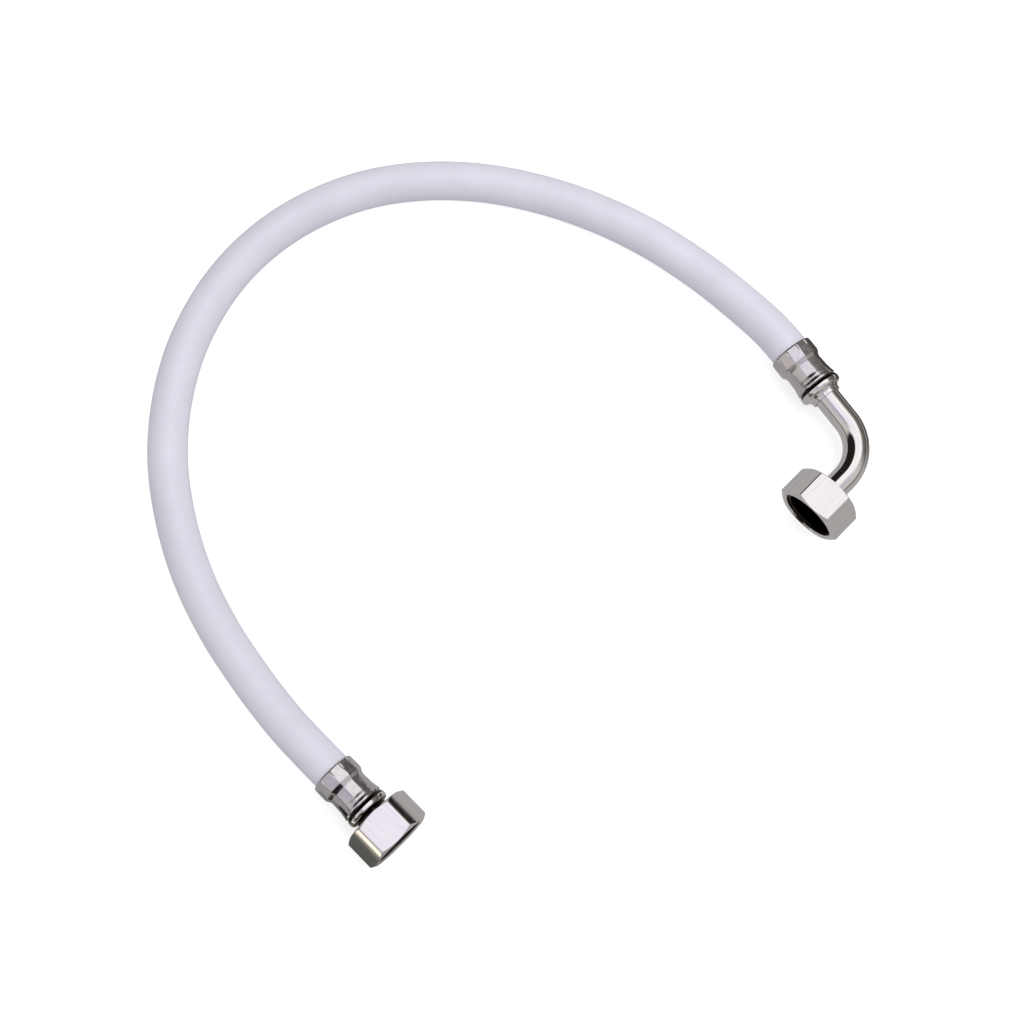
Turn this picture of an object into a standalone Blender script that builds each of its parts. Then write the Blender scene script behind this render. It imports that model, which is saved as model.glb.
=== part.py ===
"""Flexible supply line: a sheathed, braid-reinforced hose between two swivel-nut ends, one straight, one bent.

Metres, +Z up. The line lies on the plane z = 0, bent into an open loop. The straight end's outlet points along
+X and the elbow end's along -Y. The origin is on the plane, below the middle of the two end fittings.

Each end is worked out along its own axis from one plane, the front face of the shoulder on a straight end.
Distances in front of that plane, towards the outlet, are positive, and those back towards the hose negative.
"""

from math import cos, pi, radians, sin, sqrt, tan

import bmesh
import bpy
from mathutils import Matrix, Vector

MM = 0.001
GAP = 0.3 * MM  # between pieces that touch on the real line
ROUND_STEPS = 36

# Swivel nut, G 1/2
NUT_FLATS = 24.0 * MM
NUT_BACK = 0.8 * MM
NUT_LENGTH = 13.5 * MM
NUT_FACE_RADIUS = 11.86 * MM
NUT_CHAMFER = tan(radians(30))
NUT_BORE_RADIUS = 9.3 * MM
NUT_LIP = 2.2 * MM
NUT_LIP_RADIUS = 6.25 * MM
MOUTH_LEAD_IN = 0.9 * MM
NUT_TRAVEL = 2.5 * MM
NUT_TRIM_RADIUS = NUT_FLATS * 0.62  # past the hexagon's corners

# The collar that the nut pulls forward, and the washer in front of it
NECK_RADIUS = 5.9 * MM
FLANGE_RADIUS = 8.5 * MM
FLANGE_THICKNESS = 1.6 * MM
FLANGE_BACK = NUT_BACK + NUT_LIP + NUT_TRAVEL + GAP
FLANGE_FRONT = FLANGE_BACK + FLANGE_THICKNESS
FLANGE_HUB = 2.0 * MM
SEAL_BACK = FLANGE_FRONT + GAP
SEAL_THICKNESS = 1.8 * MM
SEAL_OUTER_RADIUS = 8.95 * MM
SEAL_INNER_RADIUS = 5.75 * MM

# Shoulder bead and barbed tail
BEAD_WIDTH = 4.3 * MM
BEAD_RADIUS = 8.5 * MM
BEAD_SIDE_RADIUS = 7.2 * MM
BEAD_STEPS = 6
TAIL_END = -21.6 * MM
TAIL_ROOT_RADIUS = 3.15 * MM
BARB_RADIUS = 3.65 * MM
BARB_PITCH = 3.9 * MM
BARB_COUNT = 4
TAIL_BORE_RADIUS = 2.5 * MM
NECK_BORE_RADIUS = 3.5 * MM
SOCKET_RADIUS = 6.0 * MM
SOCKET_LENGTH = 1.6 * MM
SOCKET_DEPTH = 1.9 * MM

# Crimped ferrule: a wide band over the sheath, and a waist over the braid
FERRULE_FRONT = -BEAD_WIDTH - GAP
FERRULE_REAR = -21.0 * MM
WAIST_RADIUS = 7.65 * MM
WAIST_BORE_RADIUS = 6.5 * MM
WAIST_LENGTH = 8.4 * MM
BAND_RADIUS = 8.75 * MM
BAND_BORE_RADIUS = 8.0 * MM
BAND_SLOPE = 2.4 * MM

# Hose layers, outside radius and wall
SHEATH_RADIUS = 7.6 * MM
SHEATH_WALL = 1.1 * MM
BRAID_RADIUS = 6.1 * MM
BRAID_WALL = 0.5 * MM
LINER_RADIUS = 5.25 * MM
LINER_WALL = 1.0 * MM
SHEATH_END = FERRULE_REAR + 5.2 * MM
LINER_END = FERRULE_FRONT
HOSE_BEVEL_RESOLUTION = 3
HOSE_POINT_SPACING = 16 * MM
HOSE_STEER = 10 * MM  # how far inside the ferrule the curve is aimed

# Bent tube of the elbow end
TUBE_RADIUS = 5.0 * MM
TUBE_WALL = 1.0 * MM
TUBE_BEVEL_RESOLUTION = 6
TUBE_TURN = radians(81)
BEND_RADIUS = 17.5 * MM
BEND_STEPS = 9

# Where the ends lie. Both nuts rest on one flat, so both axes are half a nut above the plane.
AXIS_HEIGHT = NUT_FLATS / 2
STRAIGHT_PLANE = Vector((-14.4 * MM, -114.7 * MM, AXIS_HEIGHT))
ELBOW_CORNER = Vector((21.7 * MM, 112.0 * MM, AXIS_HEIGHT))
ELBOW_CORNER_TO_PLANE = 21.5 * MM
TAIL_PLANE_TO_CORNER = 28.0 * MM

# The hose's free run from the straight ferrule to the elbow's, in millimetres
HOSE_ROUTE = (
    (-47, -114.7, 11.7),
    (-62, -114.3, 10.2),
    (-82, -112.1, 8.3),
    (-104, -108, 7.6),
    (-126, -101, 7.6),
    (-147, -90.5, 7.6),
    (-166, -77, 7.6),
    (-182, -60, 7.6),
    (-194.5, -40, 7.6),
    (-202.5, -17, 7.6),
    (-204.8, 6, 7.6),
    (-201.5, 29, 7.6),
    (-192.5, 51.5, 7.6),
    (-179, 70.5, 7.6),
    (-161.5, 87, 7.6),
    (-141.5, 100, 7.6),
    (-120, 110, 7.6),
    (-97.5, 117, 7.6),
    (-74, 120.8, 8.2),
    (-54, 121.5, 10.1),
    (-39, 121.1, 11.7),
)

UP = Vector((0, 0, 1))
OUT_STRAIGHT = Vector((1, 0, 0))
OUT_ELBOW = Vector((0, -1, 0))
TAIL_HEADING = Vector((sin(TUBE_TURN), -cos(TUBE_TURN), 0))


def end_frame(origin, outlet):
    """Local +Z along the outlet, local +X straight up."""
    side = outlet.cross(UP)
    return Matrix.Translation(origin) @ Matrix((UP, side, outlet)).transposed().to_4x4()


STRAIGHT = end_frame(STRAIGHT_PLANE, OUT_STRAIGHT)
ELBOW_OUTLET = end_frame(ELBOW_CORNER + OUT_ELBOW * ELBOW_CORNER_TO_PLANE, OUT_ELBOW)
ELBOW_TAIL = end_frame(ELBOW_CORNER - TAIL_HEADING * TAIL_PLANE_TO_CORNER, TAIL_HEADING)


def clear_scene():
    for obj in list(bpy.data.objects):
        bpy.data.objects.remove(obj, do_unlink=True)


def new_collection(name):
    collection = bpy.data.collections.new(name)
    bpy.context.scene.collection.children.link(collection)
    return collection


def new_material(name, colour, roughness, metallic):
    material = bpy.data.materials.new(name)
    material.use_nodes = True
    shader = material.node_tree.nodes["Principled BSDF"]
    shader.inputs["Base Color"].default_value = (*colour, 1)
    shader.inputs["Roughness"].default_value = roughness
    shader.inputs["Metallic"].default_value = metallic
    return material


def add_object(name, data, frame, collection, material=None):
    obj = bpy.data.objects.new(name, data)
    obj.matrix_world = frame
    collection.objects.link(obj)
    if material:
        data.materials.append(material)
    return obj


def turned(name, outline, frame, collection, material=None):
    """A ring turned about local Z from a closed outline of (radius, station), drawn down its outer side."""
    mesh = bpy.data.meshes.new(name)
    count = len(outline)
    edges = [(i, (i + 1) % count) for i in range(count)]
    mesh.from_pydata([(radius, 0, station) for radius, station in outline], edges, [])
    obj = add_object(name, mesh, frame, collection, material)
    screw = obj.modifiers.new("Turn", "SCREW")
    screw.steps = screw.render_steps = ROUND_STEPS
    screw.use_smooth_shade = True
    return obj


def pipe(name, points, radius, wall, resolution, collection, material):
    """An open-ended pipe along a run of points, with its wall inside the radius."""
    curve = bpy.data.curves.new(name, "CURVE")
    curve.dimensions = "3D"
    curve.bevel_depth = radius
    curve.bevel_resolution = resolution
    curve.use_fill_caps = False
    spline = curve.splines.new("POLY")
    spline.points.add(len(points) - 1)
    for knot, point in zip(spline.points, points):
        knot.co = (*point, 1)
    obj = add_object(name, curve, Matrix(), collection, material)
    solidify = obj.modifiers.new("Wall", "SOLIDIFY")
    solidify.thickness = wall
    solidify.offset = -1
    solidify.use_even_offset = True
    return obj


def bead_outline():
    """The shoulder's rounded outside, from its front face to its back one."""
    half = BEAD_WIDTH / 2
    rise = BEAD_RADIUS - BEAD_SIDE_RADIUS
    turns = [pi * step / BEAD_STEPS for step in range(BEAD_STEPS + 1)]
    return [(BEAD_SIDE_RADIUS + rise * sin(turn), half * cos(turn) - half) for turn in turns]


def tail_outline():
    """The barbed tail from the shoulder's back face to its end. Each barb's step faces the shoulder."""
    outline = [(TAIL_ROOT_RADIUS, -BEAD_WIDTH)]
    first = TAIL_END + BARB_COUNT * BARB_PITCH
    for barb in range(BARB_COUNT):
        top = first - barb * BARB_PITCH
        outline += [(TAIL_ROOT_RADIUS, top), (BARB_RADIUS, top - GAP)]
    return outline + [(TAIL_ROOT_RADIUS - GAP, TAIL_END), (TAIL_BORE_RADIUS, TAIL_END)]


def add_straight_nipple(collection, material):
    outline = [
        (FLANGE_RADIUS, FLANGE_FRONT),
        (FLANGE_RADIUS, FLANGE_BACK),
        (NECK_RADIUS, FLANGE_BACK),
        (NECK_RADIUS, 0),
        *bead_outline(),
        *tail_outline(),
        (TAIL_BORE_RADIUS, -BEAD_WIDTH),
        (NECK_BORE_RADIUS, -BEAD_WIDTH / 2),
        (NECK_BORE_RADIUS, FLANGE_FRONT),
    ]
    turned("straight_nipple", outline, STRAIGHT, collection, material)


def add_elbow_tail(collection, material):
    socket_bore = TUBE_RADIUS + GAP
    floor = SOCKET_LENGTH - SOCKET_DEPTH
    outline = [
        (SOCKET_RADIUS, SOCKET_LENGTH),
        (SOCKET_RADIUS, 0),
        *bead_outline(),
        *tail_outline(),
        (TAIL_BORE_RADIUS, floor),
        (socket_bore, floor),
        (socket_bore, SOCKET_LENGTH),
    ]
    turned("elbow_tail", outline, ELBOW_TAIL, collection, material)


def add_ferrule(name, frame, collection, material):
    waist_rear = FERRULE_FRONT - WAIST_LENGTH
    band_front = waist_rear - BAND_SLOPE
    outline = [
        (WAIST_RADIUS, FERRULE_FRONT),
        (WAIST_RADIUS, waist_rear),
        (BAND_RADIUS, band_front),
        (BAND_RADIUS, FERRULE_REAR + GAP),
        (BAND_RADIUS - GAP, FERRULE_REAR),
        (BAND_BORE_RADIUS, FERRULE_REAR),
        (BAND_BORE_RADIUS, band_front),
        (WAIST_BORE_RADIUS, waist_rear),
        (WAIST_BORE_RADIUS, FERRULE_FRONT),
    ]
    turned(name, outline, frame, collection, material)


def add_elbow_flange(collection, material):
    bore = TUBE_RADIUS + GAP
    hub_back = FLANGE_BACK - FLANGE_HUB
    outline = [
        (FLANGE_RADIUS, FLANGE_FRONT),
        (FLANGE_RADIUS, FLANGE_BACK),
        (NECK_RADIUS, FLANGE_BACK),
        (NECK_RADIUS, hub_back),
        (bore, hub_back),
        (bore, FLANGE_FRONT),
    ]
    turned("elbow_flange", outline, ELBOW_OUTLET, collection, material)


def add_seal(name, frame, collection, material):
    front = SEAL_BACK + SEAL_THICKNESS
    outline = [
        (SEAL_OUTER_RADIUS, front),
        (SEAL_OUTER_RADIUS, SEAL_BACK),
        (SEAL_INNER_RADIUS, SEAL_BACK),
        (SEAL_INNER_RADIUS, front),
    ]
    turned(name, outline, frame, collection, material)


def nut_envelope_outline():
    """The turned shape that trims a hexagon to a nut: two chamfers, the bore and the lip at the back."""
    back, front = NUT_BACK, NUT_BACK + NUT_LENGTH
    chamfer = (NUT_TRIM_RADIUS - NUT_FACE_RADIUS) * NUT_CHAMFER
    return [
        (NUT_FACE_RADIUS, front),
        (NUT_TRIM_RADIUS, front - chamfer),
        (NUT_TRIM_RADIUS, back + chamfer),
        (NUT_FACE_RADIUS, back),
        (NUT_LIP_RADIUS, back),
        (NUT_LIP_RADIUS, back + NUT_LIP),
        (NUT_BORE_RADIUS, back + NUT_LIP),
        (NUT_BORE_RADIUS, front - MOUTH_LEAD_IN),
        (NUT_BORE_RADIUS + MOUTH_LEAD_IN, front),
    ]


def add_nut(name, frame, collection, cutters, material):
    """A hexagon with two flats level, trimmed by a turned envelope. Its origin is on the axis it spins about."""
    trim = turned(f"{name}_trim", nut_envelope_outline(), frame, cutters)
    trim.hide_render = True
    trim.display_type = "WIRE"
    corner_radius = NUT_FLATS / sqrt(3)
    spare = 2 * MM  # so that the envelope cuts both ends
    middle = Matrix.Translation((0, 0, NUT_BACK + NUT_LENGTH / 2))
    bm = bmesh.new()
    bmesh.ops.create_cone(
        bm,
        cap_ends=True,
        segments=6,
        radius1=corner_radius,
        radius2=corner_radius,
        depth=NUT_LENGTH + spare,
        matrix=middle,
    )
    mesh = bpy.data.meshes.new(name)
    bm.to_mesh(mesh)
    bm.free()
    nut = add_object(name, mesh, frame, collection, material)
    cut = nut.modifiers.new("Trim", "BOOLEAN")
    cut.operation = "INTERSECT"
    cut.object = trim


def add_elbow_tube(collection, material):
    """From the tail's socket round the bend and through the flange."""
    tangent = BEND_RADIUS * tan(TUBE_TURN / 2)
    bend_start = ELBOW_CORNER - TAIL_HEADING * tangent
    centre = bend_start + TAIL_HEADING.cross(UP) * BEND_RADIUS
    points = [ELBOW_TAIL @ Vector((0, 0, SOCKET_LENGTH - SOCKET_DEPTH + GAP))]
    for step in range(BEND_STEPS + 1):
        turn = Matrix.Rotation(-TUBE_TURN * step / BEND_STEPS, 3, "Z")
        points.append(centre + turn @ (bend_start - centre))
    points.append(ELBOW_OUTLET @ Vector((0, 0, FLANGE_FRONT)))
    pipe("elbow_tube", points, TUBE_RADIUS, TUBE_WALL, TUBE_BEVEL_RESOLUTION, collection, material)


def smooth_points(knots, per_span):
    """Points on the Catmull-Rom curve through all knots but the first and last, which only steer it."""
    points = []
    for a, b, c, d in zip(knots, knots[1:], knots[2:], knots[3:]):
        for step in range(per_span):
            t = step / per_span
            steer = (c - a) * t + (2 * a - 5 * b + 4 * c - d) * t**2 + (3 * b - a - 3 * c + d) * t**3
            points.append(b + steer / 2)
    return points + [knots[-2]]


def thin_out(points, spacing):
    """Every point that lies at least the spacing after the last kept one, and both ends."""
    kept = [points[0]]
    for point in points[1:-1]:
        if (point - kept[-1]).length >= spacing and (point - points[-1]).length >= spacing / 2:
            kept.append(point)
    return kept + [points[-1]]


def hose_points(end):
    """The hose's centre line between the two ferrules, with each end run on along the fitting's axis."""
    inside_straight = STRAIGHT @ Vector((0, 0, end))
    rear_straight = STRAIGHT @ Vector((0, 0, FERRULE_REAR))
    rear_elbow = ELBOW_TAIL @ Vector((0, 0, FERRULE_REAR))
    inside_elbow = ELBOW_TAIL @ Vector((0, 0, end))
    steer_in = STRAIGHT @ Vector((0, 0, FERRULE_REAR + HOSE_STEER))
    steer_out = ELBOW_TAIL @ Vector((0, 0, FERRULE_REAR + HOSE_STEER))
    free_run = [Vector(point) * MM for point in HOSE_ROUTE]
    knots = [steer_in, rear_straight, *free_run, rear_elbow, steer_out]
    run = thin_out(smooth_points(knots, per_span=8), HOSE_POINT_SPACING)
    return [inside_straight, *run, inside_elbow]


def add_hose(collection, pvc, polyester, epdm):
    layers = (
        ("hose_cover", SHEATH_END, SHEATH_RADIUS, SHEATH_WALL, pvc),
        ("braid_sleeve", LINER_END, BRAID_RADIUS, BRAID_WALL, polyester),
        ("inner_tube", LINER_END, LINER_RADIUS, LINER_WALL, epdm),
    )
    for name, end, radius, wall, material in layers:
        pipe(name, hose_points(end), radius, wall, HOSE_BEVEL_RESOLUTION, collection, material)


def main():
    clear_scene()
    line = new_collection("supply_line")
    cutters = new_collection("cutters")
    nickel = new_material("nickel_plated_brass", (0.72, 0.70, 0.68), 0.18, 1.0)
    steel = new_material("stainless_steel", (0.62, 0.61, 0.62), 0.24, 1.0)
    pvc = new_material("white_pvc", (0.80, 0.80, 0.86), 0.35, 0.0)
    polyester = new_material("polyester_braid", (0.70, 0.71, 0.72), 0.8, 0.0)
    epdm = new_material("epdm_liner", (0.03, 0.03, 0.03), 0.6, 0.0)
    rubber = new_material("rubber_washer", (0.02, 0.02, 0.02), 0.55, 0.0)

    add_hose(line, pvc, polyester, epdm)
    add_straight_nipple(line, nickel)
    add_elbow_tail(line, nickel)
    add_elbow_tube(line, nickel)
    add_elbow_flange(line, nickel)
    add_ferrule("straight_ferrule", STRAIGHT, line, steel)
    add_ferrule("elbow_ferrule", ELBOW_TAIL, line, steel)
    for end, frame in (("straight", STRAIGHT), ("elbow", ELBOW_OUTLET)):
        add_nut(f"{end}_nut", frame, line, cutters, nickel)
        add_seal(f"{end}_seal", frame, line, rubber)


main()
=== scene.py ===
"""How the flexible supply line looks: white sheathed hose, crimped ferrules, bent tube and threaded nuts.

Metres, +Z up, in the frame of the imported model. The straight end's outlet points along +X, and the elbow's
along -Y. Each end is drawn along its own axis from the front face of its shoulder: stations towards the
outlet are positive, and those back towards the hose negative.
"""

from math import atan2, cos, pi, radians, sin, sqrt, tan, tau

import bmesh
import bpy
from mathutils import Matrix, Vector


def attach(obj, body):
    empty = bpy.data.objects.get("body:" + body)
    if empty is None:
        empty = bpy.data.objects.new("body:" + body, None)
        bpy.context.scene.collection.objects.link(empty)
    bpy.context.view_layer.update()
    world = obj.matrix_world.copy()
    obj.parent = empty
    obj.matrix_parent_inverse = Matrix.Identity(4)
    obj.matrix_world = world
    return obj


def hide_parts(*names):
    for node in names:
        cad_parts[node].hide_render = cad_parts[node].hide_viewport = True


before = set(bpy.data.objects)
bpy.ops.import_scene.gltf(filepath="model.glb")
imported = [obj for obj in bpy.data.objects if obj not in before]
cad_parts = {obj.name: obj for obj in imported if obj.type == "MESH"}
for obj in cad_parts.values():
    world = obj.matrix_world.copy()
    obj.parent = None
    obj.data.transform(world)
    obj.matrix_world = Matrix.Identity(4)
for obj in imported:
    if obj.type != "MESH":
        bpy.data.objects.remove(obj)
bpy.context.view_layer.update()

MM = 0.001
UP = Vector((0, 0, 1))
OUT_STRAIGHT = Vector((1, 0, 0))
OUT_ELBOW = Vector((0, -1, 0))
TUBE_TURN = radians(81)
TAIL_HEADING = Vector((sin(TUBE_TURN), -cos(TUBE_TURN), 0))

# Stations of the fittings, from the shoulder's front face
MOUTH = 14.3 * MM
NUT_BACK = 0.8 * MM
SOCKET_FRONT = 1.6 * MM
BEAD_WIDTH = 4.3 * MM
FERRULE_FRONT = -4.6 * MM
FERRULE_REAR = -21.0 * MM
SHEATH_END = FERRULE_REAR + 5.2 * MM
FLANGE_BACK = 5.8 * MM
FLANGE_FRONT = 7.4 * MM
SEAL_BACK = 7.7 * MM
SEAL_FRONT = 9.5 * MM
TAIL_END = -21.6 * MM

# Turned fittings
SHOULDER_RADIUS = 8.5 * MM
FLANGE_RADIUS = 8.5 * MM
NECK_RADIUS = 5.9 * MM
NECK_BORE_RADIUS = 3.5 * MM
SOCKET_RADIUS = 6.0 * MM
TUBE_SEAT_RADIUS = 5.3 * MM
TAIL_BORE_RADIUS = 2.5 * MM

# Hose, as a maker would order it
HOSE_RADIUS = 7.6 * MM
HOSE_WALL = 1.1 * MM
BRAID_RADIUS = 6.1 * MM
BRAID_WALL = 0.5 * MM
LINER_RADIUS = 5.25 * MM
LINER_WALL = 1.0 * MM
HOSE_STEER = 10 * MM
HOSE_ROUTE = (
    (-0.047, -0.1147, 0.0117),
    (-0.062, -0.1143, 0.0102),
    (-0.082, -0.1121, 0.0083),
    (-0.104, -0.108, 0.0076),
    (-0.126, -0.101, 0.0076),
    (-0.147, -0.0905, 0.0076),
    (-0.166, -0.077, 0.0076),
    (-0.182, -0.060, 0.0076),
    (-0.1945, -0.040, 0.0076),
    (-0.2025, -0.017, 0.0076),
    (-0.2048, 0.006, 0.0076),
    (-0.2015, 0.029, 0.0076),
    (-0.1925, 0.0515, 0.0076),
    (-0.179, 0.0705, 0.0076),
    (-0.1615, 0.087, 0.0076),
    (-0.1415, 0.100, 0.0076),
    (-0.120, 0.110, 0.0076),
    (-0.0975, 0.117, 0.0076),
    (-0.074, 0.1208, 0.0082),
    (-0.054, 0.1215, 0.0101),
    (-0.039, 0.1211, 0.0117),
)

# G 1/2 nut, 24 mm across flats
NUT_FLATS = 24 * MM
NUT_CORNER_ROUND = 0.9 * MM
NUT_FACE_RADIUS = 11.86 * MM
NUT_CHAMFER = tan(radians(30))
NUT_LIP = 2.2 * MM
NUT_LIP_RADIUS = 6.25 * MM
THREAD_PITCH = 25.4 / 14 * MM
THREAD_MINOR_RADIUS = 9.3 * MM
THREAD_MAJOR_RADIUS = 10.46 * MM
THREAD_RELIEF = 1.1 * MM
MOUTH_LEAD_IN = 1.7 * MM
MOUTH_BEVEL = 0.6 * MM
MOUTH_FLARE = 0.75 * MM

# Crimp: twelve jaws, turned a little differently at each end
JAWS = 12
JAW_TURN_STRAIGHT = radians(3)
JAW_TURN_ELBOW = radians(-3)
CRIMP_SHARPNESS = 150

# Bent tube
TUBE_RADIUS = 5.0 * MM
TUBE_WALL = 1.0 * MM
BEND_RADIUS = 17.5 * MM


# ---------------------------------------------------------------- frames

def on_axis(node, heading):
    """Where the level axis of a round node meets the node's foremost plane."""
    side = heading.cross(UP)
    points = [vertex.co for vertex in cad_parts[node].data.vertices]

    def middle(direction):
        reach = [point.dot(direction) for point in points]
        return (min(reach) + max(reach)) / 2

    front = max(point.dot(heading) for point in points)
    return heading * front + side * middle(side) + UP * middle(UP)


def end_frame(front_point, heading, front_station):
    """Local +Z along the heading and local +X straight up, with station 0 at the shoulder's front face."""
    side = heading.cross(UP)
    origin = front_point - heading * front_station
    return Matrix.Translation(origin) @ Matrix((UP, side, heading)).transposed().to_4x4()


STRAIGHT = end_frame(on_axis("straight_nut", OUT_STRAIGHT), OUT_STRAIGHT, MOUTH)
ELBOW_OUTLET = end_frame(on_axis("elbow_nut", OUT_ELBOW), OUT_ELBOW, MOUTH)
ELBOW_TAIL = end_frame(on_axis("elbow_tail", TAIL_HEADING), TAIL_HEADING, SOCKET_FRONT)


# ---------------------------------------------------------------- mesh tools

def straight_layer(bm):
    """Where each vertex would be if its piece were laid out straight, which the patterns are drawn in."""
    layers = bm.verts.layers.float_vector
    return layers.get("straightened") or layers.new("straightened")


def place_in(bm, matrix):
    """Keeps each vertex's local position for the patterns, then moves the mesh into its frame."""
    layer = straight_layer(bm)
    for vertex in bm.verts:
        vertex[layer] = vertex.co
    bm.transform(matrix)
    return bm


def finish_piece(bm, name, material, body, slot, *nodes, sharp=30):
    """Turns a bmesh into a piece that rides on a body and stands for CAD nodes."""
    mesh = bpy.data.meshes.new(name)
    bm.to_mesh(mesh)
    bm.free()
    mesh.shade_smooth()
    mesh.set_sharp_from_angle(angle=radians(sharp))
    mesh.materials.append(material)
    piece = bpy.data.objects.new(name, mesh)
    bpy.context.scene.collection.objects.link(piece)
    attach(piece, body)
    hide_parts(*nodes)
    return piece


def soften(piece, width, segments=2):
    """Small rounds on a piece's sharp edges."""
    bevel = piece.modifiers.new("Soft edges", "BEVEL")
    bevel.width = width
    bevel.segments = segments
    bevel.limit_method = "ANGLE"
    bevel.angle_limit = radians(28)
    bevel.harden_normals = True
    return piece


def turned(outline, steps):
    """A closed ring turned about local Z from an outline of (radius, station)."""
    bm = bmesh.new()
    points = [bm.verts.new((radius, 0, station)) for radius, station in outline]
    edges = [bm.edges.new(pair) for pair in zip(points, points[1:] + points[:1])]
    bmesh.ops.spin(
        bm, geom=points + edges, cent=(0, 0, 0), axis=(0, 0, 1), dvec=(0, 0, 0),
        angle=tau, steps=steps, use_merge=True, use_duplicate=False,
    )
    bmesh.ops.recalc_face_normals(bm, faces=bm.faces)
    return bm


def lofted(segments, stations):
    """Rings drawn out one after another. Each station is a matrix and a function from angle to point."""
    bm = bmesh.new()
    layer = straight_layer(bm)
    bmesh.ops.create_circle(bm, segments=segments, radius=1)
    circle = list(bm.verts)
    angles = [atan2(vertex.co.y, vertex.co.x) for vertex in circle]
    edges = list(bm.edges)
    for number, (matrix, place) in enumerate(stations):
        if number:
            made = bmesh.ops.extrude_edge_only(bm, edges=edges)["geom"]
            fresh = {item for item in made if isinstance(item, bmesh.types.BMVert)}
            lines = [item for item in made if isinstance(item, bmesh.types.BMEdge)]
            edges = [edge for edge in lines if fresh.issuperset(edge.verts)]
            circle = [
                next(end for end in (edge.other_vert(vertex) for edge in vertex.link_edges) if end in fresh)
                for vertex in circle
            ]
        for vertex, angle in zip(circle, angles):
            vertex[layer] = place(angle)
            vertex.co = matrix @ vertex[layer]
    return bm


def close_loops(bm, near=None):
    """Bridges the two open loops of a mesh, or the two whose vertices all pass a test."""
    edges = [edge for edge in bm.edges if edge.is_boundary and (near is None or all(map(near, edge.verts)))]
    bmesh.ops.bridge_loops(bm, edges=edges)


def ring(radius, station):
    """A plain circle as a function from angle to point."""
    return lambda angle: Vector((radius * cos(angle), radius * sin(angle), station))


def path_frames(points):
    """For each point of a path, the matrix that takes the straight piece to it with the least twist."""
    frames, run = [], 0.0
    turn = (points[1] - points[0]).to_track_quat("Z", "X")
    before = (points[1] - points[0]).normalized()
    for number, point in enumerate(points):
        ahead = points[min(number + 1, len(points) - 1)]
        behind = points[max(number - 1, 0)]
        heading = (ahead - behind).normalized()
        turn = before.rotation_difference(heading) @ turn
        run += (point - behind).length
        back = Matrix.Translation((0, 0, -run))
        frames.append((Matrix.Translation(point) @ turn.to_matrix().to_4x4() @ back, run))
        before = heading
    return frames


def swept_tube(points, radius, wall, segments, rim):
    """A pipe drawn along a path, open at both ends, with its rims rounded off."""
    frames = path_frames(points)
    inner = radius - wall
    outside = [(matrix, ring(radius, run)) for matrix, run in frames[1:-1]]
    inside = [(matrix, ring(inner, run)) for matrix, run in reversed(frames[1:-1])]
    (first, start), (last, end) = frames[0], frames[-1]
    stations = [(first, ring(radius - rim, start)), (first, ring(radius, start + rim)), *outside]
    stations += [(last, ring(radius, end - rim)), (last, ring(radius - rim, end))]
    stations += [(last, ring(inner, end)), *inside, (first, ring(inner, start))]
    bm = lofted(segments, stations)
    close_loops(bm)
    bmesh.ops.recalc_face_normals(bm, faces=bm.faces)
    return bm


def smooth_points(knots, per_span):
    """Points on the Catmull-Rom curve through all knots but the first and last, which only steer it."""
    points = []
    for a, b, c, d in zip(knots, knots[1:], knots[2:], knots[3:]):
        for step in range(per_span):
            t = step / per_span
            steer = (c - a) * t + (2 * a - 5 * b + 4 * c - d) * t**2 + (3 * b - a - 3 * c + d) * t**3
            points.append(b + steer / 2)
    return points + [knots[-2]]


def path_length(points):
    return sum((b - a).length for a, b in zip(points, points[1:]))


# ---------------------------------------------------------------- materials

def linear(colour):
    """An sRGB hex colour as linear red, green, blue and alpha."""
    parts = [int(colour[i : i + 2], 16) / 255 for i in (1, 3, 5)]
    return [p / 12.92 if p <= 0.04045 else ((p + 0.055) / 1.055) ** 2.4 for p in parts] + [1]


def add_node(tree, kind, links=None, values=None, **settings):
    """A node with its settings, its sockets' values and its incoming links."""
    node = tree.nodes.new(kind)
    for name, value in settings.items():
        setattr(node, name, value)
    for socket, value in (values or {}).items():
        node.inputs[socket].default_value = value
    for socket, source in (links or {}).items():
        tree.links.new(source, node.inputs[socket])
    return node


def set_stops(ramp, stops):
    """Gives a colour ramp a stop for each (place, hex colour), lowest place first."""
    elements = ramp.color_ramp.elements
    elements.remove(elements[1])
    (first, colour), *others = stops
    elements[0].position = first
    elements[0].color = linear(colour)
    for place, colour in others:
        elements.new(place).color = linear(colour)
    return ramp.outputs["Color"]


def span(tree, source, low, high, to_low, to_high):
    """A value spread from one range to another."""
    limits = {"From Min": low, "From Max": high, "To Min": to_low, "To Max": to_high}
    return add_node(tree, "ShaderNodeMapRange", {"Value": source}, limits).outputs[0]


def new_material(name):
    """A material with a Principled shader, and the laid-out position that its patterns are drawn in."""
    material = bpy.data.materials.new(name)
    material.use_nodes = True
    tree = material.node_tree
    place = add_node(tree, "ShaderNodeAttribute", attribute_name="straightened", attribute_type="GEOMETRY")
    return material, tree, tree.nodes["Principled BSDF"], place.outputs["Vector"]


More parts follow.
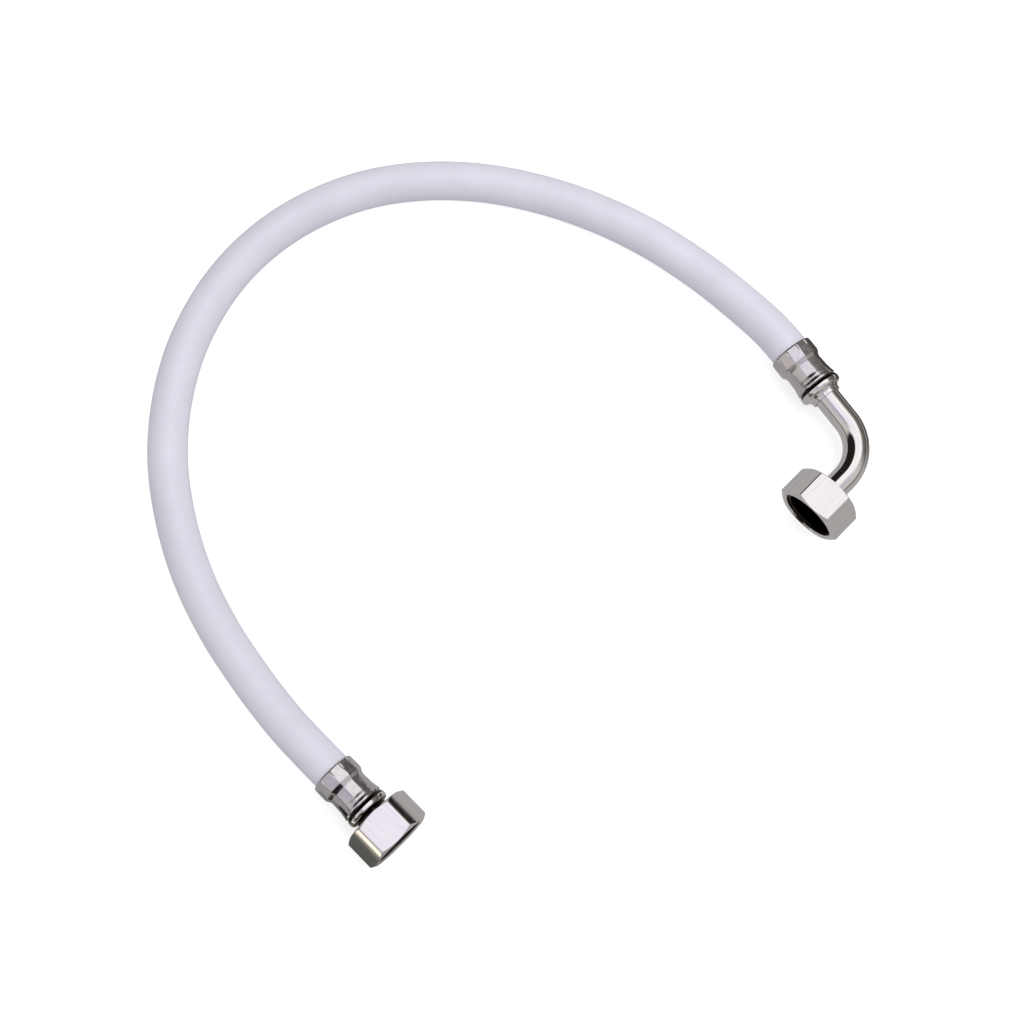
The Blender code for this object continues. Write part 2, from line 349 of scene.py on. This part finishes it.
def nickel_plate(name, shaded_grooves=()):
    """Bright nickel on turned brass: a warm mirror with hairlines along the bar, and a few pits and stains.

    Grooves are ranges of stations where the base colour is darkened as painted shade, in the crevices beside
    the shoulder's rim.
    """
    material, tree, shader, place = new_material(name)
    shader.inputs["Metallic"].default_value = 1.0
    # hairlines of the drawn bar, 0.4 mm apart and many millimetres long
    along = add_node(tree, "ShaderNodeMapping", {"Vector": place}, {"Scale": (2600, 2600, 60)})
    hairs = add_node(tree, "ShaderNodeTexNoise", {"Vector": along.outputs[0]}, {"Scale": 1.0, "Detail": 3.0})
    # pits up to 1 mm across, some 13 mm apart
    pits = add_node(tree, "ShaderNodeTexVoronoi", {"Vector": place}, {"Scale": 75.0})
    clean = span(tree, pits.outputs["Distance"], 0.02, 0.04, 0.2, 1.0)
    tone = add_node(tree, "ShaderNodeValToRGB", {"Fac": hairs.outputs["Fac"]})
    set_stops(tone, [(0.36, "#dcd8de"), (0.48, "#e8e5e8"), (0.64, "#ece8e4")])
    stained = add_node(
        tree, "ShaderNodeMix", {0: clean, 7: tone.outputs[0]}, {6: linear("#5a5048")}, data_type="RGBA"
    )
    tint = stained.outputs[2]
    station = add_node(tree, "ShaderNodeSeparateXYZ", {"Vector": place}).outputs["Z"]
    # each groove turns the colour to #342e2a: painted shade in the crevice
    for low, high in shaded_grooves:
        limits = {1: (low + high) / 2, 2: (high - low) / 2}
        inside = add_node(tree, "ShaderNodeMath", {0: station}, limits, operation="COMPARE").outputs[0]
        painted_shade = add_node(
            tree, "ShaderNodeMix", {0: inside, 6: tint}, {7: linear("#342e2a")}, data_type="RGBA"
        )
        tint = painted_shade.outputs[2]
    bump = add_node(
        tree, "ShaderNodeBump", {"Height": hairs.outputs["Fac"]}, {"Strength": 0.06, "Distance": 0.02 * MM}
    )
    tree.links.new(tint, shader.inputs["Base Color"])
    tree.links.new(span(tree, hairs.outputs["Fac"], 0.3, 0.7, 0.04, 0.1), shader.inputs["Roughness"])
    tree.links.new(bump.outputs[0], shader.inputs["Normal"])
    return material


def stainless_sheet():
    """Stainless sheet drawn to a sleeve and crimped: cooler and duller than nickel, blotched by the jaws."""
    material, tree, shader, place = new_material("stainless_steel_crimped")
    shader.inputs["Metallic"].default_value = 1.0
    # blotches 1.4 mm wide, and drawing lines 0.33 mm apart around the sleeve
    cloud = add_node(tree, "ShaderNodeTexNoise", {"Vector": place}, {"Scale": 700.0, "Detail": 5.0})
    around = add_node(tree, "ShaderNodeMapping", {"Vector": place}, {"Scale": (400, 400, 3000)})
    lines = add_node(tree, "ShaderNodeTexNoise", {"Vector": around.outputs[0]}, {"Scale": 1.0, "Detail": 2.0})
    tone = add_node(tree, "ShaderNodeValToRGB", {"Fac": cloud.outputs["Fac"]})
    set_stops(tone, [(0.35, "#cfccd0"), (0.65, "#dad7dc")])
    height = add_node(
        tree, "ShaderNodeMath", {0: cloud.outputs["Fac"], 1: lines.outputs["Fac"]}, operation="ADD"
    )
    bump = add_node(
        tree, "ShaderNodeBump", {"Height": height.outputs[0]}, {"Strength": 0.08, "Distance": 0.03 * MM}
    )
    tree.links.new(tone.outputs[0], shader.inputs["Base Color"])
    tree.links.new(span(tree, cloud.outputs["Fac"], 0.3, 0.7, 0.12, 0.24), shader.inputs["Roughness"])
    tree.links.new(bump.outputs[0], shader.inputs["Normal"])
    return material


def white_pvc():
    """Extruded soft PVC: near white with a blue-violet cast, a low gloss, and the braid below just felt."""
    material, tree, shader, place = new_material("white_pvc_sheath")
    shader.inputs["IOR"].default_value = 1.53
    # clouds 17 mm wide from the extrusion, and a grain of 0.6 mm
    cloud = add_node(tree, "ShaderNodeTexNoise", {"Vector": place}, {"Scale": 60.0, "Detail": 3.0})
    grain = add_node(tree, "ShaderNodeTexNoise", {"Vector": place}, {"Scale": 1600.0, "Detail": 2.0})
    tone = add_node(tree, "ShaderNodeValToRGB", {"Fac": cloud.outputs["Fac"]})
    set_stops(tone, [(0.3, "#d9d7e2"), (0.7, "#dfdde8")])
    bump = add_node(
        tree, "ShaderNodeBump", {"Height": grain.outputs["Fac"]}, {"Strength": 0.08, "Distance": 0.03 * MM}
    )
    tree.links.new(tone.outputs[0], shader.inputs["Base Color"])
    tree.links.new(span(tree, grain.outputs["Fac"], 0.3, 0.7, 0.36, 0.46), shader.inputs["Roughness"])
    tree.links.new(bump.outputs[0], shader.inputs["Normal"])
    return material


def polyester_yarn():
    """Braided polyester: flat yarns about 1.2 mm wide laid on the slant, dull and off-white."""
    material, tree, shader, place = new_material("polyester_braid")
    shader.inputs["Roughness"].default_value = 0.8
    yarn = add_node(
        tree, "ShaderNodeTexWave", {"Vector": place}, {"Scale": 300.0}, bands_direction="DIAGONAL"
    )
    tone = add_node(tree, "ShaderNodeValToRGB", {"Fac": yarn.outputs["Fac"]})
    set_stops(tone, [(0.2, "#bcbcc0"), (0.8, "#e2e2e2")])
    bump = add_node(
        tree, "ShaderNodeBump", {"Height": yarn.outputs["Fac"]}, {"Strength": 0.5, "Distance": 0.2 * MM}
    )
    tree.links.new(tone.outputs[0], shader.inputs["Base Color"])
    tree.links.new(bump.outputs[0], shader.inputs["Normal"])
    return material


def shaded_cut_thread():
    """Brass where the thread is cut: dull, oily and dark brown, the brown of the brass darkened further as
    painted shade inside the nut.
    """
    material, tree, shader, place = new_material("cut_brass_thread_with_painted_shade")
    shader.inputs["Metallic"].default_value = 1.0
    shader.inputs["Roughness"].default_value = 0.3
    # stains 2.5 mm wide from the cutting oil
    cloud = add_node(tree, "ShaderNodeTexNoise", {"Vector": place}, {"Scale": 400.0, "Detail": 3.0})
    tone = add_node(tree, "ShaderNodeValToRGB", {"Fac": cloud.outputs["Fac"]})
    # both stops are darker than cut brass: painted shade for the nut's bore
    set_stops(tone, [(0.35, "#4a4038"), (0.65, "#7c7064")])
    tree.links.new(tone.outputs[0], shader.inputs["Base Color"])
    return material


def black_rubber(name, grain_size):
    """Moulded EPDM: black and matt, with a fine grain."""
    material, tree, shader, place = new_material(name)
    shader.inputs["Roughness"].default_value = 0.6
    grain = add_node(tree, "ShaderNodeTexNoise", {"Vector": place}, {"Scale": 1 / grain_size, "Detail": 3.0})
    tone = add_node(tree, "ShaderNodeValToRGB", {"Fac": grain.outputs["Fac"]})
    set_stops(tone, [(0.3, "#141414"), (0.7, "#222120")])
    bump = add_node(
        tree, "ShaderNodeBump", {"Height": grain.outputs["Fac"]}, {"Strength": 0.3, "Distance": 0.03 * MM}
    )
    tree.links.new(tone.outputs[0], shader.inputs["Base Color"])
    tree.links.new(bump.outputs[0], shader.inputs["Normal"])
    return material


# stations of the grooves behind and before the shoulder's rim, darkened in the nickel as painted shade
SHADE_BEHIND_RIM = (-BEAD_WIDTH - 0.1 * MM, -3.1 * MM)
SHADE_BEFORE_RIM = (-1.3 * MM, 0.1 * MM)
NICKEL = nickel_plate("nickel_plated_brass")
NIPPLE_NICKEL = nickel_plate("nickel_plated_brass_nipple", (SHADE_BEHIND_RIM, SHADE_BEFORE_RIM))
TAIL_NICKEL = nickel_plate("nickel_plated_brass_tail", (SHADE_BEHIND_RIM,))
STEEL = stainless_sheet()
PVC = white_pvc()
YARN = polyester_yarn()
LINER_RUBBER = black_rubber("epdm_liner", 0.4 * MM)
WASHER_RUBBER = black_rubber("rubber_washer", 0.25 * MM)
THREAD = shaded_cut_thread()


# ---------------------------------------------------------------- camera

CAMERA_AIM = Vector((-0.0597, 0.0017, 0))
CAMERA_DISTANCE = 0.6471
CAMERA_ELEVATION = radians(76.2)
CAMERA_AZIMUTH = radians(44.9)


def set_up_camera():
    data = bpy.data.cameras.new("camera")
    data.lens = 59.6
    camera = bpy.data.objects.new("camera", data)
    bpy.context.scene.collection.objects.link(camera)
    level = cos(CAMERA_ELEVATION)
    back = Vector((sin(CAMERA_AZIMUTH) * level, -cos(CAMERA_AZIMUTH) * level, sin(CAMERA_ELEVATION)))
    camera.location = CAMERA_AIM + back * CAMERA_DISTANCE
    camera.rotation_euler = (-back).to_track_quat("-Z", "Y").to_euler()
    bpy.context.scene.camera = camera


# ---------------------------------------------------------------- hose

def hose_path(end):
    """The hose's centre line, run on at both ends along the fittings' axes to a station in the ferrules."""
    rear, steer = Vector((0, 0, FERRULE_REAR)), Vector((0, 0, FERRULE_REAR + HOSE_STEER))
    route = [Vector(point) for point in HOSE_ROUTE]
    knots = [STRAIGHT @ steer, STRAIGHT @ rear, *route, ELBOW_TAIL @ rear, ELBOW_TAIL @ steer]
    run = smooth_points(knots, per_span=10)
    return [STRAIGHT @ Vector((0, 0, end)), *run, ELBOW_TAIL @ Vector((0, 0, end))]


def make_hose():
    """Sheath, braid and inner tube, all along one path."""
    layers = (
        ("braid", FERRULE_FRONT, BRAID_RADIUS, BRAID_WALL, YARN, "polyester_braid", "braid_sleeve"),
        ("liner", FERRULE_FRONT, LINER_RADIUS, LINER_WALL, LINER_RUBBER, "epdm_liner", "inner_tube"),
    )
    for name, end, radius, wall, material, slot, node in layers:
        bm = swept_tube(hose_path(end), radius, wall, segments=40, rim=0.1 * MM)
        finish_piece(bm, name, material, "line", slot, node)
    path = hose_path(SHEATH_END)
    bm = swept_tube(path, HOSE_RADIUS, HOSE_WALL, segments=64, rim=0.2 * MM)
    sheath = finish_piece(bm, "sheath", PVC, "line", "white_sheath", "hose_cover")
    path_length(path)


# ---------------------------------------------------------------- fittings

def bead_outline():
    """The shoulder: a rounded rim with a dished front, from its front face to its back one."""
    inner, foot, dish, arc_steps = 6.4 * MM, 7.6 * MM, 1.0 * MM, 16
    half = (BEAD_WIDTH - dish) / 2
    turns = [pi * step / arc_steps for step in range(arc_steps + 1)]
    rim = [(foot + (SHOULDER_RADIUS - foot) * sin(turn), half * cos(turn) - half - dish) for turn in turns]
    return [(inner, 0), (inner + 0.2 * MM, -0.7 * dish), *rim]


def tail_outline():
    """The barbed tail from the shoulder's back face to its end. Each barb's step faces the shoulder."""
    root, barb, pitch, count = 3.15 * MM, 3.65 * MM, 3.9 * MM, 4
    step = 0.3 * MM
    outline = [(root, -BEAD_WIDTH)]
    for number in range(count):
        top = TAIL_END + (count - number) * pitch
        outline += [(root, top), (barb, top - step)]
    return outline + [(root - step, TAIL_END), (TAIL_BORE_RADIUS, TAIL_END)]


def make_straight_nipple():
    """Collar, neck, shoulder and barbed tail in one turned piece."""
    outline = [
        (FLANGE_RADIUS, FLANGE_FRONT), (FLANGE_RADIUS, FLANGE_BACK), (NECK_RADIUS, FLANGE_BACK),
        (NECK_RADIUS, 0), *bead_outline(), *tail_outline(),
        (TAIL_BORE_RADIUS, -BEAD_WIDTH), (NECK_BORE_RADIUS, -BEAD_WIDTH / 2),
        (NECK_BORE_RADIUS, FLANGE_FRONT),
    ]
    bm = place_in(turned(outline, 96), STRAIGHT)
    soften(finish_piece(bm, "nipple", NIPPLE_NICKEL, "line", "nickel_plate", "straight_nipple"), 0.15 * MM)


def make_elbow_tail():
    """Socket for the bent tube, shoulder and barbed tail in one turned piece."""
    floor = SOCKET_FRONT - 1.9 * MM
    outline = [
        (SOCKET_RADIUS, SOCKET_FRONT), (SOCKET_RADIUS, 0), *bead_outline(), *tail_outline(),
        (TAIL_BORE_RADIUS, floor), (TUBE_SEAT_RADIUS, floor), (TUBE_SEAT_RADIUS, SOCKET_FRONT),
    ]
    bm = place_in(turned(outline, 96), ELBOW_TAIL)
    soften(finish_piece(bm, "tail", TAIL_NICKEL, "line", "nickel_plate", "elbow_tail"), 0.15 * MM)


def make_elbow_flange():
    """Collar with a short hub, brazed on the bent tube's end."""
    hub_back = FLANGE_BACK - 2.0 * MM
    outline = [
        (FLANGE_RADIUS, FLANGE_FRONT), (FLANGE_RADIUS, FLANGE_BACK), (NECK_RADIUS, FLANGE_BACK),
        (NECK_RADIUS, hub_back), (TUBE_SEAT_RADIUS, hub_back), (TUBE_SEAT_RADIUS, FLANGE_FRONT),
    ]
    bm = place_in(turned(outline, 96), ELBOW_OUTLET)
    soften(finish_piece(bm, "collar", NICKEL, "line", "nickel_plate", "elbow_flange"), 0.15 * MM)


def make_elbow_tube():
    """From the tail's socket round the bend and through the collar."""
    tail, outlet = ELBOW_TAIL.translation, ELBOW_OUTLET.translation
    corner = tail + TAIL_HEADING * ((outlet.x - tail.x) / TAIL_HEADING.x)
    bend_start = corner - TAIL_HEADING * BEND_RADIUS * tan(TUBE_TURN / 2)
    centre = bend_start + TAIL_HEADING.cross(UP) * BEND_RADIUS
    steps = 30
    turns = [Matrix.Rotation(-TUBE_TURN * step / steps, 3, "Z") for step in range(steps + 1)]
    points = [tail, tail.lerp(bend_start, 0.5)]
    points += [centre + turn @ (bend_start - centre) for turn in turns]
    points.append(ELBOW_OUTLET @ Vector((0, 0, FLANGE_FRONT)))
    bm = swept_tube(points, TUBE_RADIUS, TUBE_WALL, segments=64, rim=0.15 * MM)
    finish_piece(bm, "bent_tube", NICKEL, "line", "nickel_plate", "elbow_tube")


def make_seal(name, end, body, node):
    """Flat washer that lies on the collar."""
    outer, inner = 8.95 * MM, 5.75 * MM
    outline = [(outer, SEAL_FRONT), (outer, SEAL_BACK), (inner, SEAL_BACK), (inner, SEAL_FRONT)]
    bm = place_in(turned(outline, 96), end)
    soften(finish_piece(bm, name, WASHER_RUBBER, body, "rubber_washer", node), 0.25 * MM)


# ---------------------------------------------------------------- crimped ferrules

# Station, radius, how far the jaws have flattened it, depth of the creases between them
FERRULE_SHAPE = (
    (FERRULE_FRONT, 8.2 * MM, 0.0, 0.0),
    (-5.0 * MM, 8.35 * MM, 0.0, 0.0),
    (-6.6 * MM, 8.05 * MM, 0.3, 0.0),
    (-8.6 * MM, 7.8 * MM, 0.6, 0.0),
    (-12.6 * MM, 7.65 * MM, 0.8, 0.0),
    (-13.0 * MM, 7.72 * MM, 0.9, 0.0),
    (-15.2 * MM, 8.72 * MM, 1.0, 0.0),
    (-15.6 * MM, 8.8 * MM, 1.0, 0.0),
    (-17.6 * MM, 8.8 * MM, 1.0, 0.05 * MM),
    (-19.2 * MM, 8.8 * MM, 1.0, 0.35 * MM),
    (-20.7 * MM, 8.72 * MM, 1.0, 0.5 * MM),
    (FERRULE_REAR, 8.5 * MM, 0.8, 0.4 * MM),
)
CREASE_HALF_WIDTH = radians(2.4)


def jaw_shape(angle):
    """Radius of a twelve-sided outline with rounded corners, as a share of its radius at the corners."""
    def rounded(turn):
        reach = [max(0.0, cos(turn - tau * jaw / JAWS)) ** CRIMP_SHARPNESS for jaw in range(JAWS)]
        return sum(reach) ** (-1 / CRIMP_SHARPNESS)

    return rounded(angle) / rounded(pi / JAWS)


def between_jaws(angle):
    """Angle to the nearest crease between two jaws."""
    pitch = tau / JAWS
    return abs((angle % pitch) - pitch / 2)


def ferrule_ring(jaw_turn, station, radius, flattened, crease):
    """A ring of the ferrule as a function from angle to point."""
    def place(angle):
        turn = angle - jaw_turn - pi / JAWS
        shape = 1 - flattened * (1 - jaw_shape(turn))
        fold = crease * max(0.0, 1 - between_jaws(turn) / CREASE_HALF_WIDTH)
        reach = radius * shape - fold
        return Vector((reach * cos(angle), reach * sin(angle), station))

    return place


def ferrule_rows(spacing):
    """The ferrule's shape at even stations, eased from one row of the table to the next."""
    rows = []
    for low, high in zip(FERRULE_SHAPE, FERRULE_SHAPE[1:]):
        count = max(1, round((low[0] - high[0]) / spacing))
        for step in range(count):
            share = step / count
            eased = share * share * (3 - 2 * share)
            station = low[0] + (high[0] - low[0]) * share
            rows.append((station, *(a + (b - a) * eased for a, b in zip(low[1:], high[1:]))))
    return rows + [FERRULE_SHAPE[-1]]


def make_ferrule(name, end, jaw_turn, node):
    """The crimped outside, and a plain stepped bore round the hose."""
    waist_bore, band_bore = 6.5 * MM, 8.0 * MM
    rows = ferrule_rows(0.3 * MM)
    waist_rear, band_front = -13.0 * MM, -15.4 * MM
    place = [ferrule_ring(jaw_turn, *row) for row in rows]
    place += [ring(band_bore, FERRULE_REAR), ring(band_bore, band_front)]
    place += [ring(waist_bore, waist_rear), ring(waist_bore, FERRULE_FRONT)]
    bm = lofted(240, [(end, at) for at in place])
    close_loops(bm)
    bmesh.ops.recalc_face_normals(bm, faces=bm.faces)
    return finish_piece(bm, name, STEEL, "line", "stainless_ferrule", node, sharp=40)


# ---------------------------------------------------------------- swivel nuts

def nut_reach(angle):
    """Distance from the axis to a hexagon with rounded corners, one of whose flats faces angle 0."""
    sixth = pi / 3
    turn = abs((angle + sixth / 2) % sixth - sixth / 2)
    apothem = NUT_FLATS / 2
    centre = (apothem - NUT_CORNER_ROUND) / cos(sixth / 2)
    if apothem * tan(turn) <= centre * sin(sixth / 2):
        return apothem / cos(turn)
    off = sixth / 2 - turn
    return centre * cos(off) + sqrt(NUT_CORNER_ROUND**2 - (centre * sin(off)) ** 2)


def nut_side(edge_station, inward):
    """The hexagon's outline where a chamfer meets it. Inward is the way to the nut's middle, 1 or -1."""
    def place(angle):
        reach = nut_reach(angle)
        drop = max(0.0, reach - NUT_FACE_RADIUS) * NUT_CHAMFER
        return Vector((reach * cos(angle), reach * sin(angle), edge_station + inward * drop))

    return place


def thread(low, high):
    """The inside of a rounded pipe thread between two stations, as an open mesh."""
    steps_per_turn, profile_steps = 72, 10
    depth = THREAD_MAJOR_RADIUS - THREAD_MINOR_RADIUS
    start = low - 1.5 * THREAD_PITCH
    turns = (high - start) / THREAD_PITCH + 1.5
    bm = bmesh.new()
    points = []
    for step in range(profile_steps + 1):
        share = step / profile_steps
        radius = THREAD_MINOR_RADIUS + depth * (1 - cos(tau * share)) / 2
        points.append(bm.verts.new((radius, 0, start + share * THREAD_PITCH)))
    edges = [bm.edges.new(pair) for pair in zip(points, points[1:])]
    steps = round(turns * steps_per_turn)
    bmesh.ops.spin(
        bm, geom=points + edges, cent=(0, 0, 0), axis=(0, 0, 1), dvec=(0, 0, THREAD_PITCH / steps_per_turn),
        angle=tau * steps / steps_per_turn, steps=steps, use_merge=False, use_duplicate=False,
    )
    bmesh.ops.remove_doubles(bm, verts=bm.verts, dist=0.01 * MM)
    for station, side in ((low, -1), (high, 1)):
        bmesh.ops.bisect_plane(
            bm, geom=list(bm.verts) + list(bm.edges) + list(bm.faces), dist=1e-7,
            plane_co=(0, 0, station), plane_no=(0, 0, side), clear_outer=True, clear_inner=False,
        )
    return bm


def make_nut(name, end, body, node):
    """Hexagon, conical chamfers, thread, relief and lip, closed into one body."""
    flat, touch = Matrix(), 0.01 * MM
    mouth_radius, relief_radius = THREAD_MAJOR_RADIUS + MOUTH_FLARE, THREAD_MAJOR_RADIUS + 0.1 * MM
    thread_front, lip_front = MOUTH - MOUTH_LEAD_IN, NUT_BACK + NUT_LIP
    thread_back = lip_front + THREAD_RELIEF
    place = [
        ring(relief_radius, thread_front), ring(relief_radius, MOUTH - MOUTH_BEVEL),
        ring(mouth_radius, MOUTH), ring(NUT_FACE_RADIUS, MOUTH),
        nut_side(MOUTH, -1), nut_side(NUT_BACK, 1), ring(NUT_FACE_RADIUS, NUT_BACK),
        ring(NUT_LIP_RADIUS, NUT_BACK), ring(NUT_LIP_RADIUS, lip_front),
        ring(relief_radius, lip_front), ring(relief_radius, thread_back),
    ]
    bm = lofted(360, [(flat, at) for at in place])
    inside = thread(thread_back, thread_front)
    wall = bpy.data.meshes.new("thread_wall")
    inside.to_mesh(wall)
    inside.free()
    bm.from_mesh(wall)
    bpy.data.meshes.remove(wall)
    for station in (thread_back, thread_front):
        close_loops(bm, lambda vertex: abs(vertex.co.z - station) < 1e-6)
    bmesh.ops.recalc_face_normals(bm, faces=bm.faces)
    # faces inside the nut take the thread material, partly the colour of cut brass and partly painted shade
    for face in bm.faces:
        reach = max(vertex.co.xy.length for vertex in face.verts)
        stations = [vertex.co.z for vertex in face.verts]
        inside_nut = min(stations) > lip_front - touch and max(stations) < MOUTH - touch
        face.material_index = int(reach < mouth_radius and inside_nut)
    piece = finish_piece(place_in(bm, end), name, NICKEL, body, "nickel_plate", node)
    piece.data.materials.append(THREAD)
    return soften(piece, 0.12 * MM)


# ---------------------------------------------------------------- studio

# Colours of the mirrored walls by height, 0 straight down and 1 straight up
NEAR_WALL = (
    (0.42, "#76726e"), (0.60, "#827e7a"), (0.66, "#c4beb6"), (0.75, "#cac6c2"), (0.87, "#bebac0"),
    (0.90, "#c6c2ca"), (0.94, "#a09ca4"), (0.955, "#a09ca4"), (0.97, "#e8e5ea"), (1.0, "#efecf6"),
)
FAR_WALL = (
    (0.44, "#4a4440"), (0.675, "#625e5a"), (0.81, "#7c7874"), (0.835, "#969290"), (0.87, "#f2eeee"),
    (0.95, "#fffcf6"), (1.0, "#efecf6"),
)
# Way to the dark doorway, and where along it the dark starts and is full
DOORWAY, DOORWAY_EDGE = (-0.9, 0, 0.44), (0.74, 0.8)
# Middles of the floor's dark patches, before the straight end and behind the elbow
DARK_PATCHES = ((-0.01, -0.155, 0), (0.012, 0.165, 0))
# Name, middle, facing, width, height, colour and strength of what makes the strips in the metal
MIRROR_CARDS = (
    ("flag_behind_nut", (-0.009, -0.071, 0.006), (0, -1, 0), 0.026, 0.012, "#1c1a18", 1.0),
    ("cream_card_before_nut", (-0.011, -0.158, 0.003), (0, 1, 0), 0.026, 0.006, "#fff6e2", 1.5),
    ("flag_before_ferrule", (0.045, -0.183, 0.07), (-0.68, 0.73, 0), 0.12, 0.14, "#1c1814", 1.0),
    ("flag_below_ferrule", (-0.0235, -0.13, 0.0104), (0, 1, 0), 0.005, 0.0088, "#1c1814", 1.0),
    ("flag_behind_tube", (0.015, 0.167, 0.0005), (0, 0, 1), 0.1, 0.062, "#544e4a", 1.0),
)


def flat_sheet(name, width, height, material):
    """A flat rectangle that dresses the studio and is no part of the line."""
    bm = bmesh.new()
    bmesh.ops.create_grid(bm, x_segments=1, y_segments=1, size=0.5)
    bmesh.ops.scale(bm, vec=(width, height, 1), verts=bm.verts)
    mesh = bpy.data.meshes.new(name)
    bm.to_mesh(mesh)
    bm.free()
    mesh.materials.append(material)
    sheet = bpy.data.objects.new(name, mesh)
    bpy.context.scene.collection.objects.link(sheet)
    return sheet


def mirrored_or_not(tree, output, plain, mirrored):
    """Shows one shader to the eye and to dull surfaces, and another one in the metal."""
    rays = add_node(tree, "ShaderNodeLightPath")
    both = add_node(tree, "ShaderNodeMixShader", {0: rays.outputs["Is Glossy Ray"], 1: plain, 2: mirrored})
    tree.links.new(both.outputs[0], output.inputs["Surface"])
    return rays


def white_paper():
    """Pale to the eye. In the metal it shows as a grey table with a darker patch near each end."""
    material = bpy.data.materials.new("white_paper")
    material.use_nodes = True
    tree = material.node_tree
    shader = tree.nodes["Principled BSDF"]
    shader.inputs["Base Color"].default_value = linear("#e6e6e6")
    shader.inputs["Roughness"].default_value = 0.9
    shader.inputs["Emission Color"].default_value = (1, 1, 1, 1)
    shader.inputs["Emission Strength"].default_value = 0.55
    place = add_node(tree, "ShaderNodeTexCoord").outputs["Object"]
    far = [
        add_node(tree, "ShaderNodeVectorMath", {0: place}, {1: middle}, operation="DISTANCE").outputs["Value"]
        for middle in DARK_PATCHES
    ]
    nearest = add_node(tree, "ShaderNodeMath", {0: far[0], 1: far[1]}, operation="MINIMUM").outputs[0]
    tone = add_node(tree, "ShaderNodeValToRGB", {"Fac": span(tree, nearest, 0, 0.06, 0, 1)})
    set_stops(tone, [(0.2, "#5c5e58"), (0.5, "#84847e"), (1.0, "#b4b2b0")])
    mirrored = add_node(tree, "ShaderNodeEmission", {"Color": tone.outputs[0]})
    mirrored_or_not(tree, tree.nodes["Material Output"], shader.outputs[0], mirrored.outputs[0])
    return material


def glow(name, colour, strength):
    """An even glow of one colour."""
    material = bpy.data.materials.new(name)
    material.use_nodes = True
    tree = material.node_tree
    tree.nodes.remove(tree.nodes["Principled BSDF"])
    light = add_node(tree, "ShaderNodeEmission", None, {"Color": linear(colour), "Strength": strength})
    tree.links.new(light.outputs[0], tree.nodes["Material Output"].inputs["Surface"])
    return material


def mirror_card(name, middle, facing, width, height, colour, strength):
    """A card that only shows in the metal."""
    card = flat_sheet(name, width, height, glow(name, colour, strength))
    card.location = middle
    card.rotation_euler = Vector(facing).to_track_quat("Z", "Y").to_euler()
    card.visible_camera = False
    card.visible_diffuse = False
    card.visible_transmission = False
    card.visible_shadow = False


def mirrored_room(tree):
    """Colour of the room that the metal mirrors: a near wall, a far wall and a dark doorway to the left."""
    way = add_node(tree, "ShaderNodeTexCoord").outputs["Generated"]
    parts = add_node(tree, "ShaderNodeSeparateXYZ", {"Vector": way})
    x, y = parts.outputs["X"], parts.outputs["Y"]
    near = add_node(tree, "ShaderNodeMath", {0: x, 1: y}, operation="SUBTRACT").outputs[0]
    height = span(tree, parts.outputs["Z"], -1, 1, 0, 1)
    walls = []
    for stops in (FAR_WALL, NEAR_WALL):
        wall = add_node(tree, "ShaderNodeValToRGB", {"Fac": height})
        walls.append(set_stops(wall, stops))
    far_to_near = span(tree, near, -0.2, 0.2, 0, 1)
    room = add_node(tree, "ShaderNodeMix", {0: far_to_near, 6: walls[0], 7: walls[1]}, data_type="RGBA")
    left = add_node(tree, "ShaderNodeVectorMath", {0: way}, {1: DOORWAY}, operation="DOT_PRODUCT")
    opening = span(tree, left.outputs["Value"], *DOORWAY_EDGE, 0, 1)
    doorway = add_node(
        tree, "ShaderNodeMix", {0: opening, 6: room.outputs[2]}, {7: linear("#1e1c1a")}, data_type="RGBA"
    )
    return doorway.outputs[2]


def light_the_studio():
    """A soft even light for what is dull, a room for the metal to mirror, a lamp and a white floor."""
    world = bpy.data.worlds.new("studio")
    bpy.context.scene.world = world
    world.use_nodes = True
    tree = world.node_tree
    tree.nodes.clear()
    soft = add_node(tree, "ShaderNodeBackground", None, {"Color": linear("#f2f2f4")})
    mirrored = add_node(tree, "ShaderNodeBackground", {"Color": mirrored_room(tree)}, {"Strength": 1.2})
    output = add_node(tree, "ShaderNodeOutputWorld")
    rays = mirrored_or_not(tree, output, soft.outputs[0], mirrored.outputs[0])
    # brighter where it is seen itself, so that it is as white as the floor
    tree.links.new(span(tree, rays.outputs["Is Camera Ray"], 0, 1, 0.76, 1.2), soft.inputs["Strength"])

    data = bpy.data.lights.new("overhead", "AREA")
    data.energy = 4.2
    data.size = 0.8
    lamp = bpy.data.objects.new("overhead", data)
    bpy.context.scene.collection.objects.link(lamp)
    lamp.location = CAMERA_AIM + Vector((0.15, 0.35, 0.9))
    lamp.rotation_euler = (lamp.location - CAMERA_AIM).to_track_quat("Z", "Y").to_euler()
    lamp.visible_glossy = False
    bpy.context.scene.view_settings.view_transform = "Standard"

    floor = flat_sheet("floor", 6, 6, white_paper())
    floor.visible_diffuse = False
    for card in MIRROR_CARDS:
        mirror_card(*card)


# ---------------------------------------------------------------- all of it

set_up_camera()
make_hose()
make_straight_nipple()
make_elbow_tail()
make_elbow_flange()
make_elbow_tube()
make_ferrule("ferrule_straight", STRAIGHT, JAW_TURN_STRAIGHT, "straight_ferrule")
make_ferrule("ferrule_elbow", ELBOW_TAIL, JAW_TURN_ELBOW, "elbow_ferrule")
make_nut("nut_straight", STRAIGHT, "straight_nut", "straight_nut")
make_nut("nut_elbow", ELBOW_OUTLET, "elbow_nut", "elbow_nut")
make_seal("washer_straight", STRAIGHT, "straight_washer", "straight_seal")
make_seal("washer_elbow", ELBOW_OUTLET, "elbow_washer", "elbow_seal")
light_the_studio()
